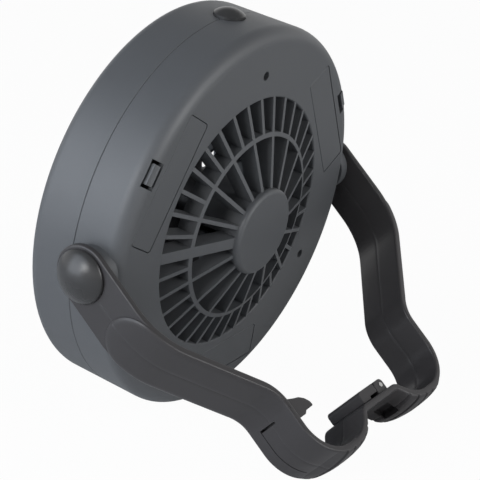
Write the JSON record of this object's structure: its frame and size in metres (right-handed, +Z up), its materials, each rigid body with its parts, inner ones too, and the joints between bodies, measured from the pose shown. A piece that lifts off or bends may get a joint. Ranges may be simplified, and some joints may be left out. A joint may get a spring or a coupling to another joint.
{
  "type": "portable camping fan",
  "caption": "Round battery fan in a flat drum casing with grilles, on a bent strap bail that tilts it, stands it up or hangs it from a line.",
  "frame": {"origin": "on the ground under the middle of the standing fan's box", "axes": "+Z up, +X along the bail's pivots, the fan blows towards -Y"},
  "size_m": [0.2316, 0.1588, 0.2049],
  "materials": {
    "casing": "fine matt moulded texture, dark bluish grey",
    "bail_black": "satin near-black moulding",
    "cap_black": "satin near-black moulding",
    "impeller_black": "satin black",
    "steel": "bright zinc plate",
    "contact_metal": "nickel plate",
    "cell_sleeve": "plain printed sleeve, no wording",
    "white_plastic": "natural nylon",
    "switch_black": "matt",
    "board_green": "coated board",
    "lead_sleeve": "soft sleeve"
  },
  "bodies": {
    "casing": {"rear_shell": "casing", "front_shell": "casing", "cell_right_a": "cell_sleeve", "cell_right_b": "cell_sleeve", "cell_bottom_a": "cell_sleeve", "cell_bottom_b": "cell_sleeve", "cell_left_a": "cell_sleeve", "cell_left_b": "cell_sleeve", "contact_links": "contact_metal", "contact_ends": "contact_metal", "motor_can": "steel", "motor_end_cap": "white_plastic", "motor_bracket": "steel", "bracket_screws": "steel", "motor_screws": "steel", "switch_body": "switch_black", "switch_board": "board_green", "motor_leads": "lead_sleeve", "battery_leads": "lead_sleeve", "case_screws": "steel", "friction_washers": "white_plastic", "pivot_screws": "steel", "pivot_nuts": "steel"},
    "impeller": {"impeller": "impeller_black", "motor_shaft": "steel"},
    "bail": {"bail": "bail_black", "pivot_cap_right": "cap_black", "pivot_cap_left": "cap_black", "clip_pin": "steel", "clip_spring": "steel"},
    "line_clip": {"line_clip": "bail_black"},
    "power_button": {"power_button": "cap_black", "switch_plunger": "white_plastic"},
    "battery_door_right": {"battery_door_right": "casing"},
    "battery_door_bottom": {"battery_door_bottom": "casing"},
    "battery_door_left": {"battery_door_left": "casing"}
  },
  "joints": [
    {"name": "impeller_spin", "type": "hinge", "parent": "casing", "child": "impeller", "pos_m": [0, -0.04423, 0.10184], "axis": [0, -0.9921, 0.1253], "continuous": true},
    {"name": "bail_pivot", "type": "hinge", "parent": "casing", "child": "bail", "pos_m": [0, -0.02934, 0.09996], "axis": [1, 0, 0], "range_deg": [-56, 123]},
    {"name": "clip_hinge", "type": "hinge", "parent": "bail", "child": "line_clip", "pos_m": [-0.008, 0.05674, 0.02251], "axis": [0, -0.6689, -0.7434], "range_deg": [0, 30], "stiffness_Nm_per_rad": 0.05, "springref_deg": -11.46},
    {"name": "button_press", "type": "slide", "parent": "casing", "child": "power_button", "axis": [0, -0.1253, -0.9921], "range_m": [0, 0.0012], "stiffness_N_per_m": 800},
    {"name": "door_right_hinge", "type": "hinge", "parent": "casing", "child": "battery_door_right", "pos_m": [0.06053, -0.01206, 0.13301], "axis": [-0.5, 0.1085, 0.8592], "range_deg": [0, 60]},
    {"name": "door_bottom_hinge", "type": "hinge", "parent": "casing", "child": "battery_door_bottom", "pos_m": [0, -0.02521, 0.02898], "axis": [1, 0, 0], "range_deg": [0, 60]},
    {"name": "door_left_hinge", "type": "hinge", "parent": "casing", "child": "battery_door_left", "pos_m": [-0.06053, -0.01206, 0.13301], "axis": [-0.5, -0.1085, -0.8592], "range_deg": [0, 60]}
  ]
}
